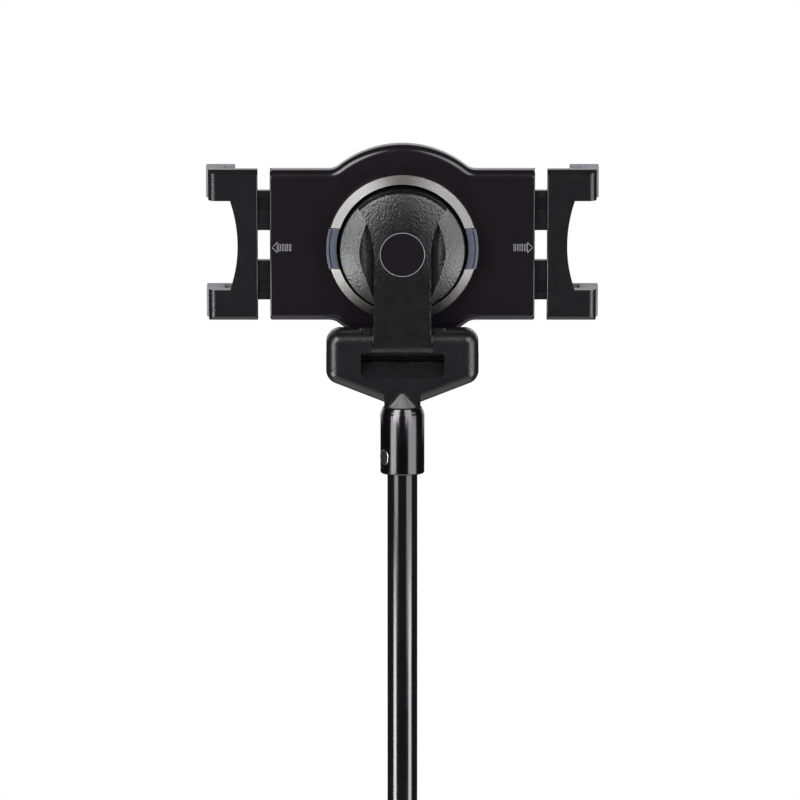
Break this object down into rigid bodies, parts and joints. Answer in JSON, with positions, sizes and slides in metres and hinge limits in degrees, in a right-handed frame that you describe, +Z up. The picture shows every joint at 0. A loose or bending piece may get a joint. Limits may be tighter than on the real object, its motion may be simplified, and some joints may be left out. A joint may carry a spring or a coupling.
{
  "type": "tablet floor stand",
  "caption": "Folding tripod floor stand with a telescoping pole, tilting neck and a swivelling sliding-jaw tablet holder.",
  "frame": {"origin": "the point on the floor under the pole's axis", "axes": "+Z up along the pole, +Y towards the tablet side of the holder, +X along the holder's width, to the right seen from behind the holder"},
  "size_m": [0.5342, 0.4661, 1.2149],
  "materials": {
    "gloss_black_tube": "gloss",
    "satin_black_plastic": "fine grained satin",
    "gloss_black_plastic": "gloss",
    "dark_metal": "polished dark nickel",
    "satin_steel": "satin",
    "ring_grey": "satin silver grey",
    "tab_blue_grey": "translucent gloss",
    "jaw_grey": "matte lavender grey",
    "pad_black": "matte ribbed",
    "foot_black": "matte",
    "bush_grey": "satin"
  },
  "bodies": {
    "pole_base": {"lower_tube": "gloss_black_tube", "base_hub": "satin_black_plastic", "hub_pins": "satin_steel", "lower_clamp": "satin_black_plastic", "lower_clamp_liner": "bush_grey"},
    "leg_slider": {"leg_collar": "satin_black_plastic", "collar_pins": "satin_steel"},
    "leg_slider_knob": {"leg_collar_knob": "satin_black_plastic"},
    "lower_knob": {"lower_clamp_knob": "satin_black_plastic"},
    "middle_stage": {"middle_tube": "gloss_black_tube", "middle_bush": "bush_grey", "upper_clamp": "satin_black_plastic", "upper_clamp_liner": "bush_grey"},
    "upper_knob": {"upper_clamp_knob": "satin_black_plastic"},
    "upper_carrier": {"upper_bush": "bush_grey"},
    "neck": {"upper_tube": "gloss_black_tube", "pole_cone_plug": "satin_steel", "neck_sleeve": "dark_metal", "sleeve_screw": "satin_steel", "shield_hub": "satin_black_plastic", "shield_cover": "satin_black_plastic", "shield_screws": "satin_steel", "tilt_axle": "satin_steel", "tilt_nut": "satin_steel", "friction_washers": "bush_grey", "axle_caps": "satin_black_plastic"},
    "arm": {"tilt_arm": "satin_black_plastic", "arm_badge": "gloss_black_plastic", "swivel_bolt": "satin_steel", "swivel_washer": "satin_steel"},
    "holder": {"housing_rear_cover": "gloss_black_plastic", "housing_front_plate": "gloss_black_plastic", "housing_screws": "satin_steel", "swivel_ring": "ring_grey", "tab_spring_right": "satin_steel", "tab_spring_left": "satin_steel"},
    "grip_left": {"grip_left": "satin_black_plastic", "grip_left_jaws": "jaw_grey", "grip_left_pad": "pad_black"},
    "grip_right": {"grip_right": "satin_black_plastic", "grip_right_jaws": "jaw_grey", "grip_right_pad": "pad_black"},
    "sync_pinion": {"sync_pinion": "bush_grey"},
    "release_tab_left": {"release_tab_left": "tab_blue_grey"},
    "release_tab_right": {"release_tab_right": "tab_blue_grey"},
    "brace_1": {"brace_1": "gloss_black_tube"},
    "leg_1": {"leg_1": "gloss_black_tube", "foot_1": "foot_black", "brace_pin_1": "satin_steel"},
    "brace_2": {"brace_2": "gloss_black_tube"},
    "leg_2": {"leg_2": "gloss_black_tube", "foot_2": "foot_black", "brace_pin_2": "satin_steel"},
    "brace_3": {"brace_3": "gloss_black_tube"},
    "leg_3": {"leg_3": "gloss_black_tube", "foot_3": "foot_black", "brace_pin_3": "satin_steel"}
  },
  "joints": [
    {"name": "tripod_fold", "type": "hinge", "parent": "pole_base", "child": "brace_1", "pos_m": [0, 0.025, 0.04913], "axis": [1, 0, 0], "range_deg": [0, 51]},
    {"name": "leg_1_fold", "type": "hinge", "parent": "brace_1", "child": "leg_1", "pos_m": [0, 0.12983, 0.11721], "axis": [-1, 0, 0], "range_deg": [0, 102]},
    {"name": "brace_2_fold", "type": "hinge", "parent": "pole_base", "child": "brace_2", "pos_m": [-0.02165, -0.0125, 0.04913], "axis": [-0.5, 0.866, 0], "range_deg": [0, 51]},
    {"name": "leg_2_fold", "type": "hinge", "parent": "brace_2", "child": "leg_2", "pos_m": [-0.11244, -0.06492, 0.11721], "axis": [0.5, -0.866, 0], "range_deg": [0, 102]},
    {"name": "brace_3_fold", "type": "hinge", "parent": "pole_base", "child": "brace_3", "pos_m": [0.02165, -0.0125, 0.04913], "axis": [-0.5, -0.866, 0], "range_deg": [0, 51]},
    {"name": "leg_3_fold", "type": "hinge", "parent": "brace_3", "child": "leg_3", "pos_m": [0.11244, -0.06492, 0.11721], "axis": [0.5, 0.866, 0], "range_deg": [0, 102]},
    {"name": "leg_slider_level", "type": "hinge", "parent": "leg_1", "child": "leg_slider", "pos_m": [0, 0.025, 0.18528], "axis": [1, 0, 0], "range_deg": [0, 51]},
    {"name": "leg_knob_turn", "type": "hinge", "parent": "leg_slider", "child": "leg_slider_knob", "pos_m": [0, 0, 0.20928], "axis": [0, -1, 0], "range_deg": [0, 360]},
    {"name": "lower_knob_turn", "type": "hinge", "parent": "pole_base", "child": "lower_knob", "pos_m": [0, 0, 0.57812], "axis": [0, -1, 0], "range_deg": [0, 360]},
    {"name": "middle_slide", "type": "slide", "parent": "pole_base", "child": "middle_stage", "axis": [0, 0, 1], "range_m": [-0.115, 0.29]},
    {"name": "upper_knob_turn", "type": "hinge", "parent": "middle_stage", "child": "upper_knob", "pos_m": [0, 0, 0.73713], "axis": [0, -1, 0], "range_deg": [0, 360]},
    {"name": "upper_slide", "type": "slide", "parent": "middle_stage", "child": "upper_carrier", "axis": [0, 0, 1], "range_m": [-0.3, 0.13]},
    {"name": "pan", "type": "hinge", "parent": "upper_carrier", "child": "neck", "pos_m": [0, 0, 1.08462], "axis": [0, 0, 1], "continuous": true},
    {"name": "tilt", "type": "hinge", "parent": "neck", "child": "arm", "pos_m": [0, 0.011, 1.11563], "axis": [1, 0, 0], "range_deg": [-10, 84]},
    {"name": "swivel", "type": "hinge", "parent": "arm", "child": "holder", "pos_m": [0, 0.01252, 1.16239], "axis": [0, 0.9954, 0.0958], "continuous": true},
    {"name": "grip_spread", "type": "slide", "parent": "holder", "child": "grip_left", "axis": [-1, 0, 0], "range_m": [-0.006, 0.00975]},
    {"name": "grip_right_slide", "type": "slide", "parent": "holder", "child": "grip_right", "axis": [1, 0, 0], "range_m": [-0.006, 0.00975]},
    {"name": "pinion_turn", "type": "hinge", "parent": "holder", "child": "sync_pinion", "pos_m": [0.02, 0.02178, 1.16328], "axis": [0, 0.9954, 0.0958], "range_deg": [-43.07, 69.93]},
    {"name": "tab_left_press", "type": "slide", "parent": "holder", "child": "release_tab_left", "axis": [1, 0, 0], "range_m": [0, 0.0013], "stiffness_N_per_m": 900, "springref_m": -0.0008, "deforming": ["tab_spring_left"]},
    {"name": "tab_right_press", "type": "slide", "parent": "holder", "child": "release_tab_right", "axis": [-1, 0, 0], "range_m": [0, 0.0013], "stiffness_N_per_m": 900, "springref_m": -0.0008, "deforming": ["tab_spring_right"]}
  ],
  "couplings": [
    {"joint": "leg_1_fold", "follows": "tripod_fold", "ratio": 2},
    {"joint": "brace_2_fold", "follows": "tripod_fold", "ratio": 1},
    {"joint": "leg_2_fold", "follows": "tripod_fold", "ratio": 2},
    {"joint": "brace_3_fold", "follows": "tripod_fold", "ratio": 1},
    {"joint": "leg_3_fold", "follows": "tripod_fold", "ratio": 2},
    {"joint": "leg_slider_level", "follows": "tripod_fold", "ratio": 1},
    {"joint": "grip_right_slide", "follows": "grip_spread", "ratio": 1},
    {"joint": "pinion_turn", "follows": "grip_spread", "rad_per_m": 125}
  ]
}
